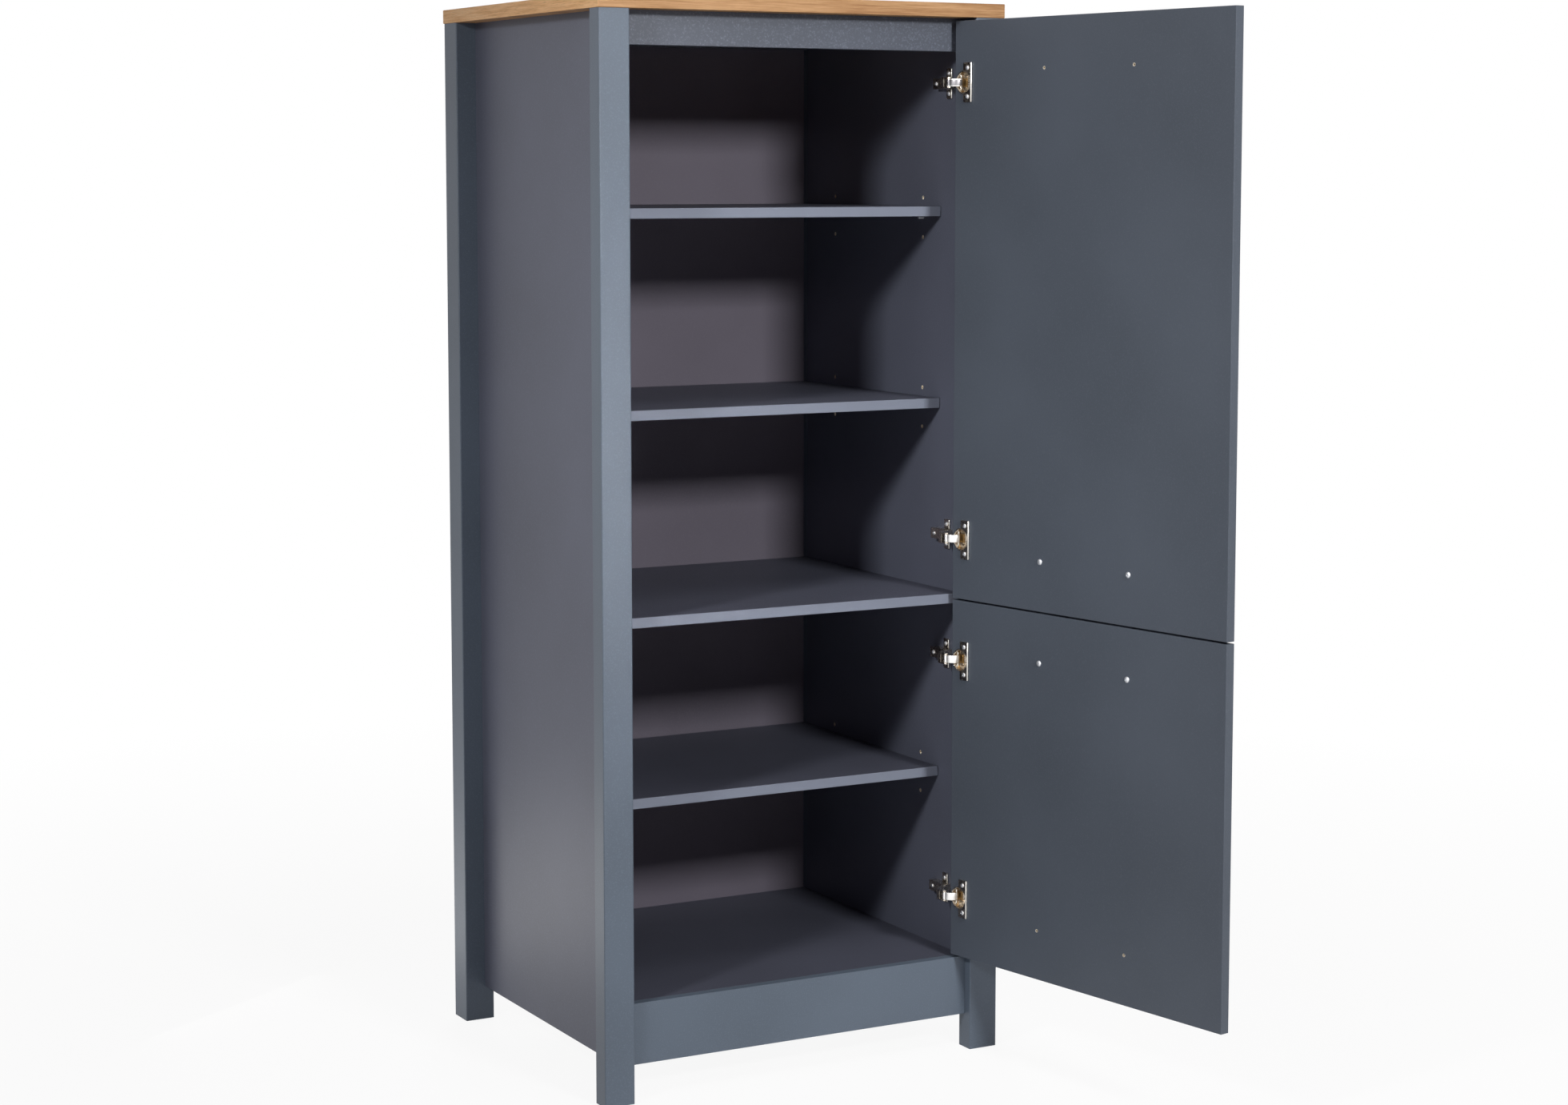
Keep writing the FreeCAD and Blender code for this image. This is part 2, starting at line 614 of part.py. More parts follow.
# Doors, drawn shut about their pivot, then turned open with all that they carry
DOORS = {
    "upper": (upper_door_bottom, upper_door_height, f"({upper_door_bottom} + handle_edge_distance)",
              f"({upper_door_bottom} + {upper_door_height} - handle_edge_distance)"),
    "lower": (lower_door_bottom, "lower_door_height",
              f"({lower_door_bottom} + lower_door_height - handle_edge_distance)",
              f"({lower_door_bottom} + handle_edge_distance)"),
}
door_middle = f"(pivot_edge - {door_width} / 2)"
for leaf, (bottom_level, door_height, handle_level, pilot_level) in DOORS.items():
    blank = box(f"door_{leaf}_blank", door_width, "door_thickness", door_height, f"pivot_edge - {door_width}",
                door_outer, bottom_level)
    tools = door_cuts[leaf]
    bar_line = f"({door_outer} - handle_standoff)"
    handle_pieces = [rod(f"handle_{leaf}_bar", "handle_bar_diameter", "handle_length",
                         f"{door_middle} - handle_length / 2", bar_line, handle_level, "x")]
    handle_holes = []
    handle_screws = []
    for step in (-1, 1):
        x = f"{door_middle} + ({step}) * handle_spacing / 2"
        name = f"handle_{leaf}_{step + 1}"
        handle_pieces.append(rod(name + "_post", "handle_post_diameter", "handle_standoff", x, door_outer,
                                 handle_level, "-y"))
        reach = "door_thickness + handle_screw_depth"
        handle_screws.append(screw(name + "_screw", "handle_screw_head", "handle_screw_head_height",
                                   "handle_screw_diameter", reach, x, door_inner, handle_level, "y", "-y"))
        handle_holes.append(rod(name + "_thread", "handle_screw_diameter + 2 * screw_hole_play",
                                "handle_screw_depth + screw_hole_play", x, door_outer, handle_level, "-y"))
        tools.append(rod(name + "_through", "handle_screw_diameter + 2 * handle_hole_play", "door_thickness",
                         x, door_inner, handle_level, "-y"))
        tools.append(rod(name + "_pilot", "pilot_diameter", "pilot_depth", x, door_inner, pilot_level, "-y"))
    slab = rounded(f"door_{leaf}_round", blank, "door_rounding")
    ON_DOOR[leaf].append(cut(f"door_{leaf}", slab, tools))
    bar = fuse(f"handle_{leaf}_blank", handle_pieces)
    ON_DOOR[leaf].append(cut(f"handle_{leaf}", bar, handle_holes))
    ON_DOOR[leaf].append(group(f"handle_screws_{leaf}", handle_screws))
    ON_DOOR[leaf].append(group(f"cup_screws_{leaf}", cup_screws[leaf]))
for pieces in ON_DOOR.values():
    for item in pieces:
        node(hang(item, pivot_x, pivot_y, "0", "door_open_angle * 1 deg"))

node(group("dowels_sides", front_pegs + rear_pegs))
node(group("dowels_boards", board_pegs))
node(group("dowels_rails", rail_pegs + rear_rail_pegs + apron_pegs))
node(group("dowels_top", top_pegs))

# Rebuild, check every object and write each finished piece
doc.recompute()
for item in doc.Objects:
    if "Invalid" in item.State or "Error" in item.State:
        raise RuntimeError(f"{item.Label} failed: {item.State}")
os.makedirs("parts", exist_ok=True)
for item in NODES:
    if item.Shape.isNull() or not item.Shape.isValid():
        raise RuntimeError(f"{item.Label} has no valid shape")
    item.Shape.exportStep(f"parts/{item.Label}.step")
print(len(NODES), "pieces written")
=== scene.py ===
# %% [markdown]
# # A tall storage cabinet with two open doors
# The cabinet is a kitchen-style cupboard: slate-grey lacquered boards on four square legs, an oak-look
# top, shelves on pins and two doors on cup hinges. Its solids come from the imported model, already in
# place, so this lesson adds what a drawing office leaves out: softened edges, screw heads, finishes,
# light and a camera.

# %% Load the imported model
import json
import math

import bmesh
import bpy
from mathutils import Matrix, Vector


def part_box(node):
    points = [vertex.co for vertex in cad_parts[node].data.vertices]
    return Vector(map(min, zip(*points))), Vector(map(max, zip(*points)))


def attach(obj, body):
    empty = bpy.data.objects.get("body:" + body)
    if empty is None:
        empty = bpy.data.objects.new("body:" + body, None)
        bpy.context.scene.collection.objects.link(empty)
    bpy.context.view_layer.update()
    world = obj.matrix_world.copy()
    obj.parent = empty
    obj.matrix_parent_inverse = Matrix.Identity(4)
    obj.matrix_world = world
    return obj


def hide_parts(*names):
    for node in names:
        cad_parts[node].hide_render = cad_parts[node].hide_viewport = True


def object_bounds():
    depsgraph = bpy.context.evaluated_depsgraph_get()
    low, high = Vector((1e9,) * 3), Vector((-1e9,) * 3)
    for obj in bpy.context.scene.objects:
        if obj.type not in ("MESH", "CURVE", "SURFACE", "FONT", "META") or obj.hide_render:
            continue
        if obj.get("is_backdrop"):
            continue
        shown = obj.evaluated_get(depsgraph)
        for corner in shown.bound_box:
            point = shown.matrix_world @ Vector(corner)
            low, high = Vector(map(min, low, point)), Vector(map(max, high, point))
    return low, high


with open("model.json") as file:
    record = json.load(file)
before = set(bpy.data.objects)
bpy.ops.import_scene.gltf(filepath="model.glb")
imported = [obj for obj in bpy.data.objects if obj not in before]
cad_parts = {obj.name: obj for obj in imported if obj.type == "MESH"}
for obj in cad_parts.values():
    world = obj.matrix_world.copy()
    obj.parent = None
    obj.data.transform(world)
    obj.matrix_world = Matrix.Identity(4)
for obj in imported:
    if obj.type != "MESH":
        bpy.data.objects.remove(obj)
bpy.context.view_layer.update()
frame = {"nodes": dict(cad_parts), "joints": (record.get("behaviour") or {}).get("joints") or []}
NODES = frame["nodes"]
MM = 0.001

# %% [markdown]
# ## The camera
# The photograph was taken from the front left, a little below the cabinet's top, with a long lens. Its
# upright edges stay parallel, which a view camera does by shifting its lens. A large shift would cut the
# cabinet off when the camera walks round it, so most of that shift is given up for a slight tilt.

# %% Place the camera
CAMERA_PLACE = (-2.268, -4.367, 1.4227)
CAMERA_TURN = 28.673
CAMERA_TILT = 5.887
SENSOR_WIDTH = 36
FOCAL_LENGTH = 69.53
LENS_SHIFT = -0.045

lens = bpy.data.cameras.new("photo_camera")
lens.sensor_width = SENSOR_WIDTH
lens.lens = FOCAL_LENGTH
lens.shift_y = LENS_SHIFT
camera = bpy.data.objects.new("photo_camera", lens)
camera.location = CAMERA_PLACE
camera.rotation_euler = (math.radians(90 - CAMERA_TILT), 0, math.radians(-CAMERA_TURN))
bpy.context.scene.collection.objects.link(camera)
bpy.context.scene.camera = camera
print("camera at", CAMERA_PLACE, "with a", FOCAL_LENGTH, "mm lens")

# %% [markdown]
# ## Node wiring as sums
# A material is a tree of nodes. Written out one node at a time, a sum of three numbers takes a dozen lines,
# so one small class wraps a socket and lets Python's own operators add the Math nodes. Every other node
# comes from a single method, which sets what the node is first and plugs its sockets afterwards.

# %% The wire and the finish
class Wire:
    """A socket that gives one value, for use in plain sums."""

    def __init__(self, finish, socket):
        self.finish = finish
        self.socket = socket

    def math(self, operation, other):
        return self.finish.node("ShaderNodeMath", {"operation": operation}, {0: self, 1: other})

    def __add__(self, other):
        return self.math("ADD", other)

    def __sub__(self, other):
        return self.math("SUBTRACT", other)

    def __mul__(self, other):
        return self.math("MULTIPLY", other)

    def __gt__(self, other):
        return self.math("GREATER_THAN", other)

    def __lt__(self, other):
        return self.math("LESS_THAN", other)

    def __abs__(self):
        return self.math("ABSOLUTE", 0.0)


class Finish:
    """A material's nodes, with one method that adds a node."""

    def __init__(self, name, tree=None):
        if tree is None:
            self.material = bpy.data.materials.new(name)
            self.material.use_nodes = True
            tree = self.material.node_tree
            self.shader = tree.nodes["Principled BSDF"]
        self.tree = tree

    def node(self, kind, settings, sockets, out=0):
        made = self.tree.nodes.new(kind)
        for name, value in settings.items():
            if name == "stops":
                self.set_stops(made.color_ramp, value)
            else:
                setattr(made, name, value)
        for name, value in sockets.items():
            self.plug(made.inputs[name], value)
        return Wire(self, made.outputs[out])

    def plug(self, socket, value):
        if isinstance(value, Wire):
            self.tree.links.new(value.socket, socket)
        else:
            socket.default_value = value

    def set_stops(self, ramp, stops):
        while len(ramp.elements) < len(stops):
            ramp.elements.new(1.0)
        for element, (place, colour) in zip(ramp.elements, stops):
            element.position = place
            element.color = colour

    def set(self, **sockets):
        for name, value in sockets.items():
            self.plug(self.shader.inputs[name.replace("_", " ")], value)

    def position(self):
        return self.node("ShaderNodeTexCoord", {}, {}, "Object")

    def facing(self):
        return self.node("ShaderNodeTexCoord", {}, {}, "Normal")

    def stretched(self, vector, scale, turn=(0, 0, 0), shift=(0, 0, 0)):
        sockets = {"Vector": vector, "Scale": scale, "Rotation": turn, "Location": shift}
        return self.node("ShaderNodeMapping", {}, sockets)

    def axis(self, vector, letter):
        return self.node("ShaderNodeSeparateXYZ", {}, {"Vector": vector}, letter)

    def noise(self, vector, scale, detail=2.0, roughness=0.5, distortion=0.0):
        sockets = {"Vector": vector, "Scale": scale, "Detail": detail, "Roughness": roughness,
                   "Distortion": distortion}
        return self.node("ShaderNodeTexNoise", {}, sockets, "Fac")

    def fitted(self, value, low, high, to_low=0.0, to_high=1.0):
        sockets = {"Value": value, "From Min": low, "From Max": high, "To Min": to_low, "To Max": to_high}
        return self.node("ShaderNodeMapRange", {}, sockets)

    def blend(self, share, first, second):
        """Two colours mixed by a share. A Mix node has its sockets for colours at 6, 7 and 2."""
        sockets = {0: share, 6: first, 7: second}
        return self.node("ShaderNodeMix", {"data_type": "RGBA"}, sockets, 2)

    def choose(self, share, first, second):
        """Two vectors mixed by a share. A Mix node has its sockets for vectors at 4, 5 and 1."""
        sockets = {0: share, 4: first, 5: second}
        return self.node("ShaderNodeMix", {"data_type": "VECTOR"}, sockets, 1)

    def ramp(self, share, stops):
        return self.node("ShaderNodeValToRGB", {"stops": stops}, {"Fac": share}, "Color")

    def bump(self, height, strength, distance):
        sockets = {"Height": height, "Strength": strength, "Distance": distance}
        self.set(Normal=self.node("ShaderNodeBump", {}, sockets, "Normal"))


def paint(red, green, blue):
    """A colour as a screen shows it, turned into the light that a shader works in."""
    light = []
    for value in (red, green, blue):
        share = value / 255
        light.append(share / 12.92 if share <= 0.04045 else ((share + 0.055) / 1.055) ** 2.4)
    return (*light, 1.0)


print("wiring ready")

# %% [markdown]
# ## Where the doors stand
# The doors stand open, turned about their hinges. Drilled holes and drawn outlines are far easier to place
# on a shut door, which lies square to the axes, so everything on a door is measured from the hinge's axis
# with the door shut, and a turn brings it back.

# %% Measure the doors
LEAVES = ("upper", "lower")
HINGE = next(joint for joint in frame["joints"] if joint["name"] == "upper_door_hinge")
PIVOT = Vector(HINGE["pos_m"])
PIVOT.z = 0
OPEN = math.radians(-HINGE["range_deg"][0])
SWUNG = Matrix.Translation(PIVOT) @ Matrix.Rotation(OPEN, 4, "Z")
SHUT = SWUNG.inverted()


def shut_box(name):
    """A door node's corners with the door shut, measured from the hinge's axis."""
    points = [SHUT @ corner.co for corner in NODES[name].data.vertices]
    low = Vector([min(point[axis] for point in points) for axis in range(3)])
    high = Vector([max(point[axis] for point in points) for axis in range(3)])
    return low, high


def spare_height(leaf):
    """The height of a door's spare handle holes, as far from one end as its handle is from the other."""
    low, high = shut_box("door_" + leaf)
    screws = shut_box("handle_screws_" + leaf)
    return low.z + high.z - (screws[0].z + screws[1].z) / 2


DOOR_LOW, DOOR_HIGH = shut_box("door_upper")
print("doors open", round(math.degrees(OPEN)), "degrees")
for leaf in LEAVES:
    print("spare holes of the", leaf, "door at", round(spare_height(leaf), 4))

# %% [markdown]
# ## Where each fastener sits
# One node holds all the screws of a kind. Splitting it into its loose parts gives every screw's own place,
# and a sum along the screw's direction gives its head, so no size is written down twice. The pins and the
# handle screws also tell where the free holes are.

# %% Find the fasteners
ROOM = Vector((-1, 0, 0))
REAR = Vector((0, 1, 0))
INSIDE = Vector((-math.cos(OPEN - math.pi / 2), -math.sin(OPEN - math.pi / 2), 0))
SAME_PLACE = 1e-6
HEAD_SHARE = 0.95
BELOW_SEAT = 1e-5
PIN_PITCH = 32 * MM
PLACE_DIGITS = 4


def loose_parts(name):
    """Each separate solid of a node, as a list of its corners."""
    shape = bmesh.new()
    shape.from_mesh(NODES[name].data)
    bmesh.ops.remove_doubles(shape, verts=shape.verts, dist=SAME_PLACE)
    seen = set()
    parts = []
    for start in shape.verts:
        if start in seen:
            continue
        seen.add(start)
        group = [start]
        for corner in group:
            for edge in corner.link_edges:
                other = edge.other_vert(corner)
                if other not in seen:
                    seen.add(other)
                    group.append(other)
        parts.append([corner.co.copy() for corner in group])
    shape.free()
    return parts


def measure(points, outward):
    """A fastener's middle line, the heights of its top, seat and tip, and the radius of its head."""
    across = outward.orthogonal().normalized()
    other = outward.cross(across)
    middle = Vector()
    for way in (across, other):
        reach = [point.dot(way) for point in points]
        middle += way * (min(reach) + max(reach)) / 2
    heights = [point.dot(outward) for point in points]
    radii = [(point - outward * point.dot(outward) - middle).length for point in points]
    head = max(radii)
    seat = min(height for height, radius in zip(heights, radii) if radius > HEAD_SHARE * head)
    shank = max(radius for height, radius in zip(heights, radii) if height < seat - BELOW_SEAT)
    return {"middle": middle, "top": max(heights), "seat": seat, "tip": min(heights), "head": head,
            "shank": shank}


def spare_holes(leaf):
    """A door's spare handle holes on the shut door: each under its screw, at the other end."""
    height = spare_height(leaf)
    screws = [measure(points, INSIDE) for points in loose_parts("handle_screws_" + leaf)]
    return [((SHUT @ screw["middle"]).x, height) for screw in screws]


def free_pin_holes():
    """The free pin holes of a side panel, one above and one below each pin, as depth and height."""
    places = set()
    for points in loose_parts("shelf_pins"):
        middle = sum(points, Vector()) / len(points)
        for step in (-PIN_PITCH, PIN_PITCH):
            places.add((round(middle.y, PLACE_DIGITS), round(middle.z + step, PLACE_DIGITS)))
    return sorted(places)


SCREW_KINDS = {
    "cup_screws_upper": ("door_upper", INSIDE), "cup_screws_lower": ("door_lower", INSIDE),
    "handle_screws_upper": ("door_upper", INSIDE), "handle_screws_lower": ("door_lower", INSIDE),
    "plate_screws": ("carcass", ROOM), "arm_screws": ("carcass", ROOM), "back_screws": ("carcass", REAR),
}
for name, (body, outward) in SCREW_KINDS.items():
    found = measure(loose_parts(name)[0], outward)
    print(name, len(loose_parts(name)), "of head", round(2 * found["head"] / MM, 2), "mm")
print(len(free_pin_holes()), "free pin holes in each side")

# %% [markdown]
# ## Slate boards
# The boards are chipboard under a satin slate-grey skin. Close up, the skin isn't flat: it has a fine pearl
# texture that scatters the light, and a slight cloudiness from one hand's breadth to the next. A drilled
# hole shows the pale core, and the drill chips a narrow ring of the skin away round its mouth. The core is
# painted in by place, because the skin is only a fraction of a millimetre thick.

# %% Slate finishes
CORE_PALE = paint(253, 246, 228)
CORE_DARK = paint(244, 226, 196)
CORE_ROUGHNESS = 0.9
LEG_SLATE = (92, 103, 116)
SIDE_SLATE = (95, 99, 113)
SHELF_SLATE = (80, 82, 94)
SHELF_EDGE = (127, 133, 147)
RAIL_SLATE = (77, 82, 93)
BACK_SLATE = (107, 102, 113)
DOOR_SLATE = (83, 90, 100)
NOISE_RANGE = (0.3, 0.7)
FLECK_RANGE = (0.52, 0.78)
CLOUD_SCALE = 3.2
GRAIN_SCALE = 900.0
CHIP_SCALE = 700.0
CLOUD_SHADE = 0.05
FACES_AXIS = 0.7
TEXTURE_DEPTH = 0.3 * MM
SKIN = 0.4 * MM
PIN_RIM = 3.2 * MM
PILOT_RIM = 2.7 * MM
INNER_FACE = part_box("side_panel_right")[0].x
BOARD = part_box("side_panel_right")[1].x - INNER_FACE


def tinted(colour, share):
    """A colour made lighter or darker by a share."""
    return paint(*[min(255, value * share) for value in colour])


def slate_finish(name, colour, pearl=0.12, flecks=480.0, sheen=0.46, shine=0.4, core=None, band=None):
    """A satin board skin. core gives the share of bare chipboard, and band is the front edge's colour."""
    finish = Finish(name)
    place = finish.position()
    cloud = finish.noise(place, CLOUD_SCALE, detail=3.0)
    grain = finish.noise(place, GRAIN_SCALE, detail=2.0, roughness=0.6)
    fleck = finish.noise(place, flecks, detail=3.0, roughness=0.65)
    dark = tinted(colour, 1 - CLOUD_SHADE)
    light = tinted(colour, 1 + CLOUD_SHADE)
    skin = finish.blend(finish.fitted(cloud, *NOISE_RANGE), dark, light)
    skin = finish.blend(finish.fitted(fleck, *FLECK_RANGE), skin, tinted(colour, 1 + pearl))
    gloss = finish.fitted(grain, *NOISE_RANGE, sheen - 0.05, sheen + 0.06)
    if band is not None:
        front = finish.axis(finish.facing(), "Y") < -FACES_AXIS
        skin = finish.blend(front, skin, paint(*band))
    if core is not None:
        bare = core(finish, place)
        chips = finish.noise(place, CHIP_SCALE, detail=4.0, roughness=0.7)
        wood = finish.ramp(chips, list(zip(NOISE_RANGE, (CORE_DARK, CORE_PALE))))
        skin = finish.blend(bare, skin, wood)
        gloss = finish.fitted(bare, 0.0, 1.0, sheen, CORE_ROUGHNESS)
    finish.set(Base_Color=skin, Roughness=gloss, Specular_IOR_Level=shine)
    finish.bump(grain + fleck * 0.6, 0.10, TEXTURE_DEPTH)
    return finish.material


def near(across, up, spots, reach):
    """One within reach of any of the spots, and nought elsewhere."""
    share = 0.0
    for x, z in spots:
        aside = across - x
        above = up - z
        share = (aside * aside + above * above < reach * reach) + share
    return share


def wall_core(finish, place):
    """Bare board in and just round a side panel's free pin holes, short of the outer face."""
    depth = abs(finish.axis(place, "X"))
    bare = near(finish.axis(place, "Y"), finish.axis(place, "Z"), free_pin_holes(), PIN_RIM)
    return bare * (depth < INNER_FACE + BOARD - SKIN)


def door_core(finish, place):
    """Bare board in and just round the doors' spare holes, short of the outer face."""
    shut = finish.stretched(place, (1, 1, 1), (0, 0, -OPEN), SHUT.translation)
    spots = [spot for leaf in LEAVES for spot in spare_holes(leaf)]
    bare = near(finish.axis(shut, "X"), finish.axis(shut, "Z"), spots, PILOT_RIM)
    return bare * (finish.axis(shut, "Y") > DOOR_LOW.y + SKIN)


leg_finish = slate_finish("leg_slate", LEG_SLATE)
side_finish = slate_finish("side_slate", SIDE_SLATE, shine=0.26, core=wall_core)
shelf_finish = slate_finish("shelf_slate", SHELF_SLATE, shine=0.12, band=SHELF_EDGE)
rail_finish = slate_finish("rail_slate", RAIL_SLATE, pearl=0.45, flecks=340.0)
back_finish = slate_finish("back_slate", BACK_SLATE, pearl=0.06, sheen=0.55, shine=0.2)
door_finish = slate_finish("door_slate", DOOR_SLATE, shine=0.25, core=door_core)
door_end_finish = slate_finish("door_end_slate", DOOR_SLATE, sheen=0.75, shine=0.0)
print("inner faces at", round(INNER_FACE, 4), "boards", round(BOARD, 4))

# %% [markdown]
# ## Oak-look top
# The top is a printed oak laminate with a thin band of print round its edges. On the band the grain runs
# along each edge, so the pattern's long direction follows the way that the face looks. The band at the two
# sides is painted paler than the top, as painted light that stands in for the light falling on the sides.

# %% Oak finish
OAK_PALE = paint(190, 149, 106)
OAK_MID = paint(173, 131, 89)
OAK_DARK = paint(146, 104, 66)
# Paler print for the two sides: painted light, standing in for the light that falls on them.
LIT_SIDE_PALE = paint(252, 208, 155)
LIT_SIDE_MID = paint(244, 195, 139)
LIT_SIDE_DARK = paint(226, 175, 120)
PRINT_STOPS = (0.39, 0.5, 0.61)
FIGURE_STRETCH = (1.4, 9.0, 26.0)
STREAK_STRETCH = (5.0, 150.0, 150.0)
PORE_STRETCH = (22.0, 700.0, 700.0)
OAK_SCALE = 3.0


def oak_finish(name):
    """Printed oak: a broad figure, fine streaks and dark pores, all drawn out along the grain."""
    finish = Finish(name)
    place = finish.position()
    side = abs(finish.axis(finish.facing(), "X")) > FACES_AXIS
    across = finish.stretched(place, (1, 1, 1), (0, 0, math.radians(90)))
    along = finish.choose(side, place, across)
    figure_place = finish.stretched(along, FIGURE_STRETCH)
    figure = finish.noise(figure_place, OAK_SCALE, detail=3.0, roughness=0.55, distortion=0.6)
    streak = finish.noise(finish.stretched(along, STREAK_STRETCH), OAK_SCALE, detail=4.0, roughness=0.62)
    pore = finish.noise(finish.stretched(along, PORE_STRETCH), OAK_SCALE, detail=2.0, roughness=0.5)
    tone = figure * 0.45 + streak * 0.55
    top_print = finish.ramp(tone, list(zip(PRINT_STOPS, (OAK_DARK, OAK_MID, OAK_PALE))))
    # The two sides take the paler print, painted light for the light falling on them.
    lit_side_print = finish.ramp(tone, list(zip(PRINT_STOPS, (LIT_SIDE_DARK, LIT_SIDE_MID, LIT_SIDE_PALE))))
    colour = finish.blend(side, top_print, lit_side_print)
    colour = finish.blend(finish.fitted(pore, 0.56, 0.7, 0.0, 0.4), colour, OAK_DARK)
    gloss = finish.fitted(streak, *NOISE_RANGE, 0.6, 0.48)
    finish.set(Base_Color=colour, Roughness=gloss, Specular_IOR_Level=0.3)
    finish.bump(pore, 0.15, TEXTURE_DEPTH)
    return finish.material


oak = oak_finish("oak_laminate")
print("oak ready")

# %% [markdown]
# ## Steel
# The hinges are nickel-plated, bright with a faint warmth. The screws and pins are zinc-plated, cooler and
# rougher, the springs in the hinge cups have yellow zinc, and the handles are brushed. Each is a metal
# whose roughness wanders a little. The hinge links are polished. The top one has a painted grey reflection
# on its broad face and keeps two bright edges, and a test of the height above its middle tells the face
# from the edges.
# The dowels are raw beech.

# %% Steel and beech finishes
STEEL_SHADE = 0.9
STEEL_TEXTURE = 0.2 * MM
TOP_LINK = "hinge_link_upper_top"
LINK_EDGE = 1.5 * MM
BEECH_DARK = paint(196, 160, 116)
BEECH_PALE = paint(224, 192, 150)


def metal(finish, colour, wander, low, high):
    """Make a finish a metal whose roughness wanders between two values."""
    gloss = finish.fitted(wander, *NOISE_RANGE, low, high)
    finish.set(Base_Color=colour, Metallic=1.0, Roughness=gloss)
    finish.bump(wander, 0.05, STEEL_TEXTURE)
    return finish.material


def steel_finish(name, colour, low, high, scale=140.0, stretch=(1, 1, 1)):
    """Plated or brushed steel, a little darker in patches."""
    finish = Finish(name)
    place = finish.stretched(finish.position(), stretch)
    wander = finish.noise(place, scale, detail=3.0, roughness=0.6)
    shaded = finish.blend(wander, tinted(colour, STEEL_SHADE), paint(*colour))
    return metal(finish, shaded, wander, low, high)


def beech_finish(name):
    """Raw beech with short flecks."""
    finish = Finish(name)
    flecks = finish.noise(finish.stretched(finish.position(), (90, 90, 400)), 3.0, detail=3.0)
    colour = finish.ramp(flecks, [(0.35, BEECH_DARK), (0.65, BEECH_PALE)])
    finish.set(Base_Color=colour, Roughness=0.7)
    return finish.material


def link_finish(name, bright, reflection_grey):
    """Polished steel, with a painted grey reflection on the broad face of the top link."""
    finish = Finish(name)
    place = finish.position()
    low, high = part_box(TOP_LINK)
    half_width = (high.z - low.z) / 2
    # The top link's broad face takes the grey: a painted reflection of grey surroundings.
    painted_reflection_face = abs(finish.axis(place, "Z") - (low.z + high.z) / 2) < half_width - LINK_EDGE
    wander = finish.noise(place, 300.0, detail=3.0, roughness=0.6)
    colour = finish.blend(painted_reflection_face, paint(*bright), paint(*reflection_grey))
    return metal(finish, colour, wander, 0.36, 0.5)


nickel = steel_finish("nickel_plate", (226, 216, 202), 0.2, 0.34)
bright_nickel = steel_finish("bright_nickel", (246, 242, 234), 0.32, 0.46)
# The grey is the top link's painted reflection on its broad face.
link_steel = link_finish("link_plate", (253, 251, 248), (150, 148, 151))
zinc = steel_finish("zinc_plate", (240, 242, 246), 0.4, 0.54)
yellow_zinc = steel_finish("yellow_zinc", (184, 150, 100), 0.3, 0.44)
brushed = steel_finish("brushed_steel", (196, 197, 198), 0.24, 0.4, scale=60.0, stretch=(1, 1, 90))
beech = beech_finish("raw_beech")
print("metals ready")

# %% [markdown]
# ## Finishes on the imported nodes
# Every node keeps its shape and takes a finish by what it is. The first rule that fits a node's name wins.

# %% Assign finishes
RULES = (
    (("top_board",), oak),
    (("leg_", "apron_"), leg_finish),
    (("side_panel",), side_finish),
    (("back_panel",), back_finish),
    (("top_rail",), rail_finish),
    (("bottom_panel", "fixed_shelf", "loose_shelf"), shelf_finish),
    (("door_",), door_finish),
    (("dowels",), beech),
    (("hinge_link",), link_steel),
    (("hinge_",), nickel),
    (("handle_screws", "back_screws", "plate_screws", "shelf_pins", "arm_", "cup_"), zinc),
    (("handle_",), brushed),
)
for name, thing in NODES.items():
    finish = next(made for starts, made in RULES if name.startswith(starts))
    thing.data.materials.clear()
    thing.data.materials.append(finish)
print("finished", len(NODES), "nodes")

# %% [markdown]
# ## Softened edges
# No board or pressing has a knife edge: boards are sanded or banded, and steel is tumbled. A narrow
# rounding catches the light as a thin line along every corner, which the eye reads as the size of the
# thing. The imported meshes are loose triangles, so a Weld modifier joins them before a Bevel rounds the
# corners that are sharper than 35 degrees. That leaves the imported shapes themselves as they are. The
# legs' upright edges are rounded already, so only their ends are eased, and narrowly, because a wide
# bevel overshoots where edges are short. The side panels and the back stay as packed.

# %% Round the edges
SHARP = math.radians(35)
BEVEL_STEPS = 3
ROUNDINGS = (
    (("top_board", "top_rail"), 0.6),
    (("leg_",), 0.2),
    (("apron_", "handle_upper", "handle_lower"), 0.8),
    (("bottom_panel",), 0.5),
    (("fixed_shelf", "loose_shelf"), 0.7),
    (("hinge_plate",), 0.9),
    (("hinge_",), 0.3),
)


def soften(thing, width):
    """Join the triangles, then round the sharp corners by a width in millimetres."""
    weld = thing.modifiers.new("join", "WELD")
    weld.merge_threshold = SAME_PLACE
    bevel = thing.modifiers.new("round", "BEVEL")
    bevel.width = width * MM
    bevel.segments = BEVEL_STEPS
    bevel.profile = 0.5
    bevel.limit_method = "ANGLE"
    bevel.angle_limit = SHARP
    bevel.use_clamp_overlap = False
    bevel.harden_normals = True


softened = 0
for name, thing in NODES.items():
    width = next((size for starts, size in ROUNDINGS if name.startswith(starts)), None)
    if width is not None:
        soften(thing, width)
        softened += 1
print("softened", softened, "nodes")

# %% [markdown]
# ## Screws
# A screw is turned on a lathe, so its outline is spun about its axis. Its head is a low dome with a cross
# recess for the driver. The recess is cut with a Boolean modifier, once for each kind, and the finished
# shape is stamped at every place with its cross turned at random, as a hand leaves it.

# %% Make the screws
DOME = ((0, 1), (0.45, 0.97), (0.75, 0.82), (0.93, 0.55), (1, 0.22), (1, 0))
SCREW_STEPS = 32
RECESS_LENGTH = 1.15
RECESS_WIDTH = 0.26
RECESS_HEIGHT = 1.3
RECESS_MIDDLE = 0.9
RECESS_TAPER = (0.45, 0.7, 1.0)
TWIST = math.radians(37)


def new_mesh(shape, name):
    """A mesh made from a finished shape."""
    mesh = bpy.data.meshes.new(name)
    shape.to_mesh(mesh)
    shape.free()
    return mesh


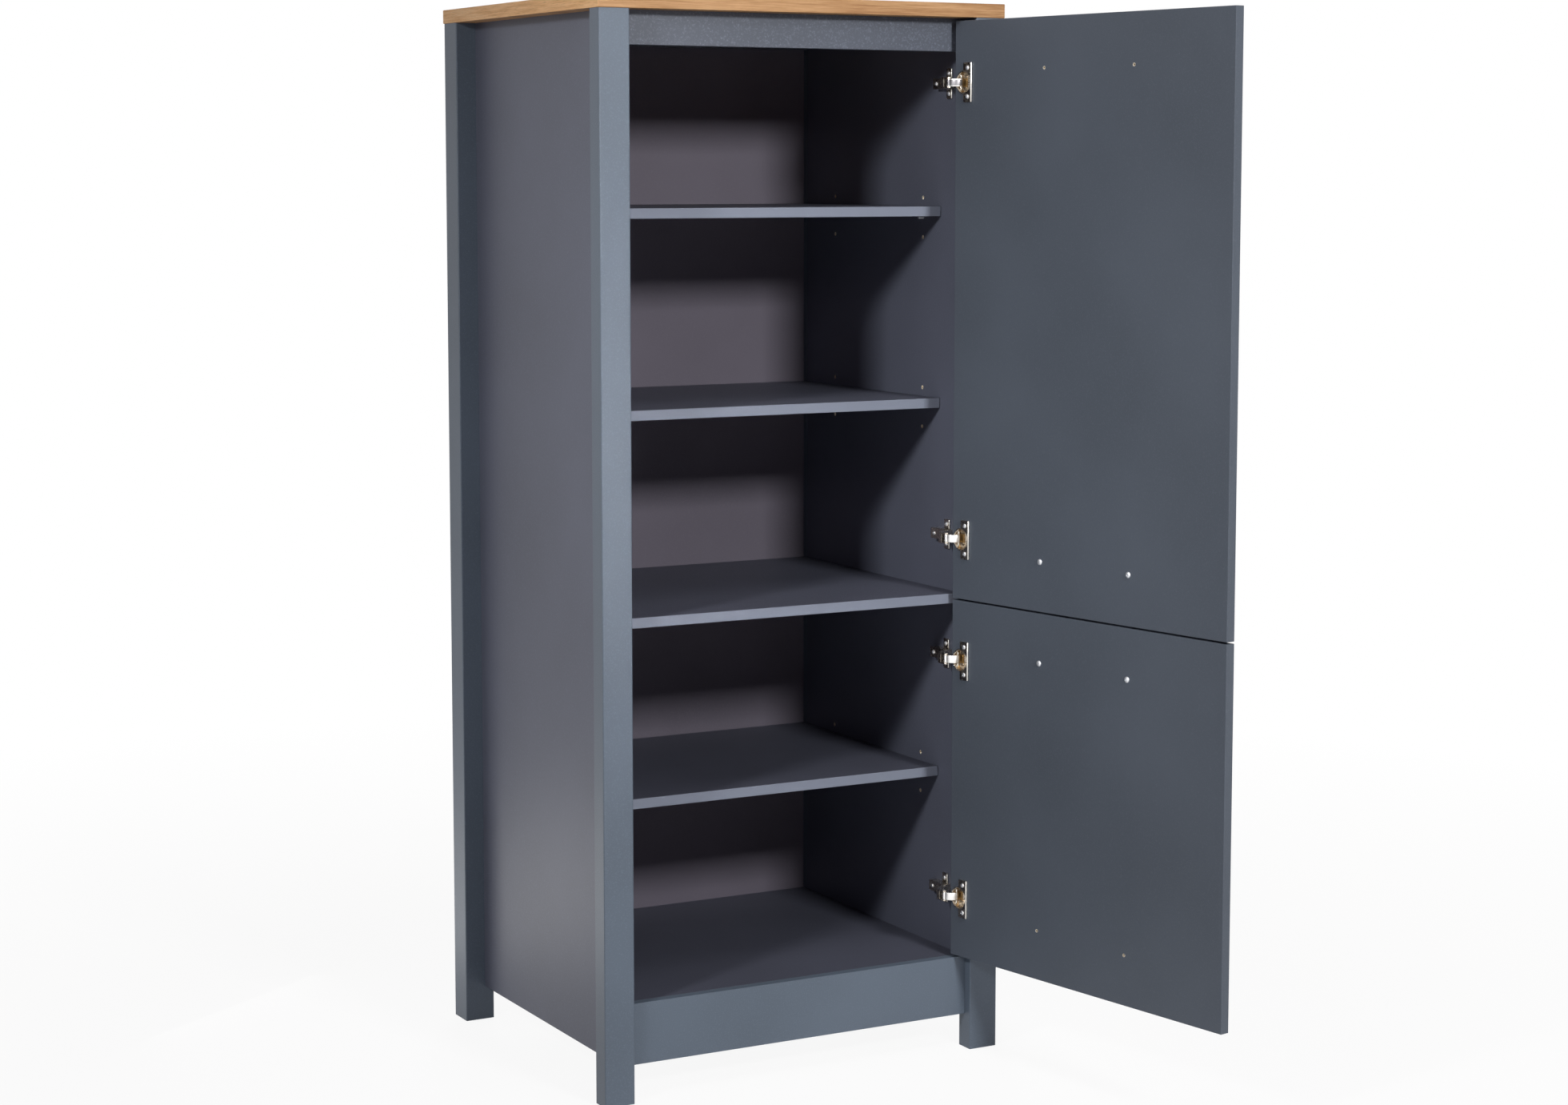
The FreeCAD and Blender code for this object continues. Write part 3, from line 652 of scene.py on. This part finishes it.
def turned(outline, steps):
    """A shape spun about Z from points of radius and height."""
    shape = bmesh.new()
    corners = [shape.verts.new((radius, 0, height)) for radius, height in outline]
    edges = [shape.edges.new(pair) for pair in zip(corners, corners[1:])]
    bmesh.ops.spin(shape, geom=corners + edges, cent=(0, 0, 0), axis=(0, 0, 1), angle=math.tau,
                   steps=steps, use_merge=True)
    bmesh.ops.remove_doubles(shape, verts=shape.verts, dist=SAME_PLACE)
    bmesh.ops.recalc_face_normals(shape, faces=shape.faces)
    return shape


def cut(mesh, tool):
    """The mesh with the tool's shape taken out of it."""
    thing = bpy.data.objects.new("blank", mesh)
    cutter = bpy.data.objects.new("cutter", tool)
    for made in (thing, cutter):
        bpy.context.scene.collection.objects.link(made)
    step = thing.modifiers.new("cut", "BOOLEAN")
    step.object = cutter
    step.solver = "EXACT"
    done = bpy.data.meshes.new_from_object(thing.evaluated_get(bpy.context.evaluated_depsgraph_get()))
    for made in (thing, cutter):
        bpy.data.objects.remove(made)
    return done


def recess_arm(head, height, turn):
    """One arm of the cross: a wedge that narrows towards the bottom of the recess."""
    shape = bmesh.new()
    arm = bmesh.ops.create_cube(shape, size=1.0)["verts"]
    size = (RECESS_LENGTH * head, RECESS_WIDTH * head, RECESS_HEIGHT * height)
    bmesh.ops.scale(shape, vec=size, verts=arm)
    bmesh.ops.translate(shape, vec=(0, 0, RECESS_MIDDLE * height), verts=arm)
    deep = [corner for corner in arm if corner.co.z < RECESS_MIDDLE * height]
    bmesh.ops.scale(shape, vec=RECESS_TAPER, verts=deep)
    bmesh.ops.rotate(shape, cent=(0, 0, 0), matrix=Matrix.Rotation(turn, 3, "Z"), verts=arm)
    return new_mesh(shape, "recess_arm")


def screw_shape(found):
    """One screw that stands on its seat, with its head up."""
    head = found["head"]
    height = found["top"] - found["seat"]
    length = found["seat"] - found["tip"]
    shank = found["shank"]
    outline = [(across * head, up * height) for across, up in DOME]
    outline += [(shank, 0), (shank, shank - length), (0, -length)]
    blank = new_mesh(turned(outline, SCREW_STEPS), "screw_blank")
    for turn in (0, math.pi / 2):
        blank = cut(blank, recess_arm(head, height, turn))
    return blank


def placed(outward, middle, seat, twist):
    """The turn and move that stand a shape on its seat."""
    stand = outward.to_track_quat("Z", "X").to_matrix().to_4x4()
    return Matrix.Translation(middle + outward * seat) @ stand @ Matrix.Rotation(twist, 4, "Z")


def add_piece(shape, name, body, node, finish, corner=40):
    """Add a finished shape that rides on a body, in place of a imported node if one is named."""
    mesh = new_mesh(shape, name)
    mesh.polygons.foreach_set("use_smooth", [True] * len(mesh.polygons))
    mesh.set_sharp_from_angle(angle=math.radians(corner))
    mesh.materials.append(finish)
    piece = bpy.data.objects.new(name, mesh)
    bpy.context.scene.collection.objects.link(piece)
    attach(piece, body)
    if node:
        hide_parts(node)
    return piece


for name, (body, outward) in SCREW_KINDS.items():
    parts = [measure(points, outward) for points in loose_parts(name)]
    pattern = screw_shape(parts[0])
    shape = bmesh.new()
    for index, found in enumerate(parts):
        stamp = pattern.copy()
        stamp.transform(placed(outward, found["middle"], found["seat"], TWIST * (index + 1)))
        shape.from_mesh(stamp)
        bpy.data.meshes.remove(stamp)
    add_piece(shape, name + "_cross", body, name, zinc)
    print(name, len(parts), "screws of", len(pattern.polygons), "faces")

# %% [markdown]
# ## Shelf pins
# A loose shelf rests on four steel pins pushed into a row of holes. A pin is turned too, with a rounded
# nose, so it is spun from one outline.

# %% Make the shelf pins
PIN_NOSE = 0.8 * MM
PIN_CORNER = 0.3 * PIN_NOSE
PIN_STEPS = 24

shape = bmesh.new()
pin_count = 0
for points in loose_parts("shelf_pins"):
    outward = Vector((1, 0, 0)) if points[0].x < 0 else ROOM
    heights = [point.dot(outward) for point in points]
    reach = max(heights) - min(heights)
    middle = sum(points, Vector()) / len(points)
    radius = max(abs(point.z - middle.z) for point in points)
    outline = [(0, reach), (radius - PIN_NOSE, reach), (radius - PIN_CORNER, reach - PIN_CORNER),
               (radius, reach - PIN_NOSE), (radius, 0), (0, 0)]
    pin = new_mesh(turned(outline, PIN_STEPS), "pin")
    middle -= outward * middle.dot(outward)
    pin.transform(placed(outward, middle, min(heights), 0))
    shape.from_mesh(pin)
    bpy.data.meshes.remove(pin)
    pin_count += 1
add_piece(shape, "shelf_pins_round", "carcass", "shelf_pins", zinc)
print(pin_count, "shelf pins")

# %% [markdown]
# ## Doors
# A door is one board with eased edges, bored for two hinge cups, and drilled for a handle at both ends so
# that it can hang on either side. Its long flat faces show any unevenness, so it is made afresh from a
# cube: the edges are bevelled first, the holes are cut next, and every face stays flat. Its top and
# bottom ends are banded in a duller foil, which keeps the gap between the two doors dark. It is drawn
# shut, square to the axes, and swung open at the end.

# %% Make the doors
DOOR_EASE = 0.9 * MM
CUP_BORE = 35.1 * MM
CUP_INSET = 20.5 * MM
CUP_DEPTH = 12.6 * MM
PILOT_BORE = 4.0 * MM
PILOT_DEPTH = 6.0 * MM
BORE_STEPS = 48
LOOKS_UP = 0.9
FLAT = 1


def block(shape, low, high, ease=0.0, segments=3):
    """A box between two corners, with eased edges."""
    corners = bmesh.ops.create_cube(shape, size=1.0)["verts"]
    bmesh.ops.scale(shape, vec=high - low, verts=corners)
    bmesh.ops.translate(shape, vec=(high + low) / 2, verts=corners)
    if ease:
        edges = list({edge for corner in corners for edge in corner.link_edges})
        bmesh.ops.bevel(shape, geom=edges, offset=ease, offset_type="OFFSET", affect="EDGES",
                        segments=segments, profile=0.5, material=-1)


def bore(shape, x, z, face, diameter, depth):
    """A drill from the door's inner face."""
    rod = bmesh.ops.create_cone(shape, cap_ends=True, segments=BORE_STEPS, radius1=diameter / 2,
                                radius2=diameter / 2, depth=depth + MM)["verts"]
    bmesh.ops.rotate(shape, cent=(0, 0, 0), matrix=Matrix.Rotation(math.pi / 2, 3, "X"), verts=rod)
    bmesh.ops.translate(shape, vec=(x, face + (MM - depth) / 2, z), verts=rod)


for leaf in LEAVES:
    name = "door_" + leaf
    low, high = shut_box(name)
    board = bmesh.new()
    block(board, low, high, DOOR_EASE)
    drills = bmesh.new()
    for hinge in [node for node in NODES if node.startswith("hinge_cup_" + leaf)]:
        cup_low, cup_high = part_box(hinge)
        bore(drills, high.x - CUP_INSET, (cup_low.z + cup_high.z) / 2, high.y, CUP_BORE, CUP_DEPTH)
    for x, z in spare_holes(leaf):
        bore(drills, x, z, high.y, PILOT_BORE, PILOT_DEPTH)
    mesh = cut(new_mesh(board, "door_board"), new_mesh(drills, "drills"))
    mesh.transform(SWUNG)
    shape = bmesh.new()
    shape.from_mesh(mesh)
    for face in shape.faces:
        face.material_index = int(abs(face.normal.z) > LOOKS_UP)
    piece = add_piece(shape, "door_board_" + leaf, name, name, door_finish, FLAT)
    piece.data.materials.append(door_end_finish)
    print(name, [round(size / MM, 1) for size in high - low], "mm")

# %% [markdown]
# ## Inside the hinges
# A cup hinge's cup is a deep drawing with a flange that screws to the door. The flange's outer edge is
# folded into a bead. In the cup a pin takes the link's end, and a flat spring lies on the cup's floor. The
# plate on the wall has a folded lip at the front of each wing. They are small, but they carry the bright
# lines that tell a hinge from a plain bracket.

# %% Make the beads, pins, springs and lips
BAR_STEPS = 20
BEAD_RADIUS = 1.5 * MM
BEAD_EASE = 0.6 * MM
BEAD_INSET = 0.6 * BEAD_RADIUS
BEAD_LIFT = BEAD_RADIUS + 0.4 * MM
BEAD_TRIM = 0.3 * MM
CUP_PIN = Vector((-3.0, 9.1, 0)) * MM
CUP_PIN_RADIUS = 1.4 * MM
CUP_PIN_EASE = 0.3 * MM
CUP_PIN_START = 6.6 * MM
CUP_PIN_END = 11.5 * MM
SPRING_LOW = Vector((-9.6, 0.95, -6.8)) * MM
SPRING_HIGH = Vector((0.4, 1.9, 6.8)) * MM
SPRING_EASE = 0.3 * MM
WING_SETBACK = 7 * MM
WING_START = 8.7 * MM
LIP_RADIUS = 1.4 * MM
LIP_TRIM = 0.8 * MM
LIP_LIFT = 2.0 * MM


def upright(shape, x, y, low, high, radius, ease):
    """A round bar that stands between two heights, with eased ends."""
    made = bmesh.ops.create_cone(shape, cap_ends=True, segments=BAR_STEPS, radius1=radius,
                                 radius2=radius, depth=high - low)["verts"]
    bmesh.ops.translate(shape, vec=(x, y, (low + high) / 2), verts=made)
    ends = list({edge for corner in made for edge in corner.link_edges
                 if all(abs(end.co.z - corner.co.z) < SAME_PLACE for end in edge.verts)})
    bmesh.ops.bevel(shape, geom=ends, offset=ease, offset_type="OFFSET", affect="EDGES", segments=2,
                    profile=0.5, material=-1)


for leaf in LEAVES:
    shape = bmesh.new()
    springs = bmesh.new()
    for hinge in [node for node in NODES if node.startswith("hinge_cup_" + leaf)]:
        low, high = shut_box(hinge)
        middle = (low.z + high.z) / 2
        face = shut_box("door_" + leaf)[1].y
        upright(shape, low.x + BEAD_INSET, face + BEAD_LIFT, low.z + BEAD_TRIM, high.z - BEAD_TRIM,
                BEAD_RADIUS, BEAD_EASE)
        for start, end in ((-CUP_PIN_END, -CUP_PIN_START), (CUP_PIN_START, CUP_PIN_END)):
            upright(shape, CUP_PIN.x, CUP_PIN.y, middle + start, middle + end, CUP_PIN_RADIUS,
                    CUP_PIN_EASE)
        base = Vector((0, low.y, middle))
        block(springs, base + SPRING_LOW, base + SPRING_HIGH, SPRING_EASE, 2)
    for made in (shape, springs):
        bmesh.ops.transform(made, matrix=SWUNG, verts=made.verts)
    add_piece(shape, "hinge_bright_parts_" + leaf, "door_" + leaf, None, bright_nickel)
    add_piece(springs, "hinge_springs_" + leaf, "door_" + leaf, None, yellow_zinc)
    print("hinge details on the", leaf, "door")

lips = bmesh.new()
for hinge in [node for node in NODES if node.startswith("hinge_plate")]:
    low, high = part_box(hinge)
    middle = (low.z + high.z) / 2
    for start, end in ((low.z + LIP_TRIM, middle - WING_START), (middle + WING_START, high.z - LIP_TRIM)):
        upright(lips, high.x - LIP_LIFT, low.y + WING_SETBACK, start, end, LIP_RADIUS, BEAD_EASE)
add_piece(lips, "hinge_plate_lips", "carcass", None, bright_nickel)
print("lips on the hinge plates")

# %% [markdown]
# ## Studio
# The shadows inside the cabinet show where the lamps stood. Below each shelf the back turns from shade to
# light, and how far below gives the height and the distance of a key lamp: four and a half metres in
# front, a little right of the middle and above the cabinet. Slanting shadows on the right wall give a
# small lamp high on the left, with a grid on it that keeps its beam on the opening and off the rear leg.
# A narrow beam from low on the right brightens the front left leg at half height. One lamp overhead fills
# in, one lying on the floor gives the glow low on the left side, and one behind lights the back for other
# views. The floor and the surroundings are white to the eye and to polished metal, and stay dim for
# everything else, so the boards keep their dark corners.

# %% Floor, lamps and surroundings
def lamp(name, place, aim, width, height, power, beam=180):
    """A rectangular lamp of so many watts, with a beam of so many degrees."""
    made = bpy.data.lights.new(name, "AREA")
    made.shape = "RECTANGLE"
    made.size = width
    made.size_y = height
    made.energy = power
    made.spread = math.radians(beam)
    thing = bpy.data.objects.new(name, made)
    thing.location = place
    thing.rotation_euler = (Vector(aim) - Vector(place)).to_track_quat("-Z", "Y").to_euler()
    bpy.context.scene.collection.objects.link(thing)


def seen_directly(finish):
    """One for rays from the camera, from a mirror or through glass, and nought for the rest."""
    share = 0.0
    for ray in ("Is Camera Ray", "Is Glossy Ray", "Is Transmission Ray"):
        share = finish.node("ShaderNodeLightPath", {}, {}, ray) + share
    return finish.node("ShaderNodeMath", {"operation": "MINIMUM"}, {0: share, 1: 1.0})


WHITE = (1, 1, 1, 1)
FLOOR_REACH = 14.0
FLOOR_PAINT = (0.9, 0.9, 0.9, 1)
FLOOR_ROUGHNESS = 0.9
FLOOR_WHITE = 0.92
FLOOR_FADE = (1.0, 3.0)
AIR_TINT = (0.34, 0.16, 0.22, 1)
AIR_STRENGTH = 0.12
MIDDLE = (0.0, 0.0, 0.85)

shape = bmesh.new()
bmesh.ops.create_grid(shape, x_segments=2, y_segments=2, size=FLOOR_REACH)
floor_mesh = new_mesh(shape, "studio_floor")
floor = bpy.data.objects.new("studio_floor", floor_mesh)
bpy.context.scene.collection.objects.link(floor)
floor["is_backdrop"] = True
finish = Finish("studio_floor")
finish.set(Base_Color=FLOOR_PAINT, Roughness=FLOOR_ROUGHNESS)
painted = Wire(finish, finish.shader.outputs[0])
glow = finish.node("ShaderNodeEmission", {}, {"Color": WHITE, "Strength": 1.0})
ground = finish.node("ShaderNodeVectorMath", {"operation": "LENGTH"}, {0: finish.position()}, "Value")
share = seen_directly(finish) * finish.fitted(ground, *FLOOR_FADE, FLOOR_WHITE, 1.0)
mixed = finish.node("ShaderNodeMixShader", {}, {0: share, 1: painted, 2: glow})
finish.plug(finish.tree.nodes["Material Output"].inputs["Surface"], mixed)
floor_mesh.materials.append(finish.material)

world = bpy.data.worlds.new("studio")
world.use_nodes = True
bpy.context.scene.world = world
air = Finish("studio", world.node_tree)
dim = air.node("ShaderNodeBackground", {}, {"Color": AIR_TINT, "Strength": AIR_STRENGTH})
white = air.node("ShaderNodeBackground", {}, {"Color": WHITE, "Strength": 1.0})
mixed = air.node("ShaderNodeMixShader", {}, {0: seen_directly(air), 1: dim, 2: white})
air.plug(air.tree.nodes["World Output"].inputs["Surface"], mixed)

lamp("key_lamp", (0.385, -4.5, 2.65), MIDDLE, 0.7, 0.5, 134.0)
lamp("over_lamp", (0.0, -1.2, 3.4), MIDDLE, 1.0, 1.0, 11.0)
lamp("left_lamp", (-2.75, -1.58, 2.38), (0.3, -0.45, 0.92), 0.36, 0.36, 6.1, beam=58)
lamp("leg_lamp", (1.7, -4.6, 0.6), (-0.33, -0.3, 1.0), 0.3, 0.6, 0.42, beam=14)
lamp("floor_glow", (-0.68, 0.55, 0.02), (-0.45, 0.2, 0.6), 0.45, 0.65, 2.2)
lamp("rear_lamp", (1.5, 3.6, 2.6), MIDDLE, 1.6, 1.6, 60.0)
bpy.context.scene.view_settings.view_transform = "Standard"
print("studio lit")

# %% [markdown]
# ## The visual box
# The visual model's box is printed.

# %% Finish
low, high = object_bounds()
print("visual box", [round(v, 4) for v in low], [round(v, 4) for v in high])
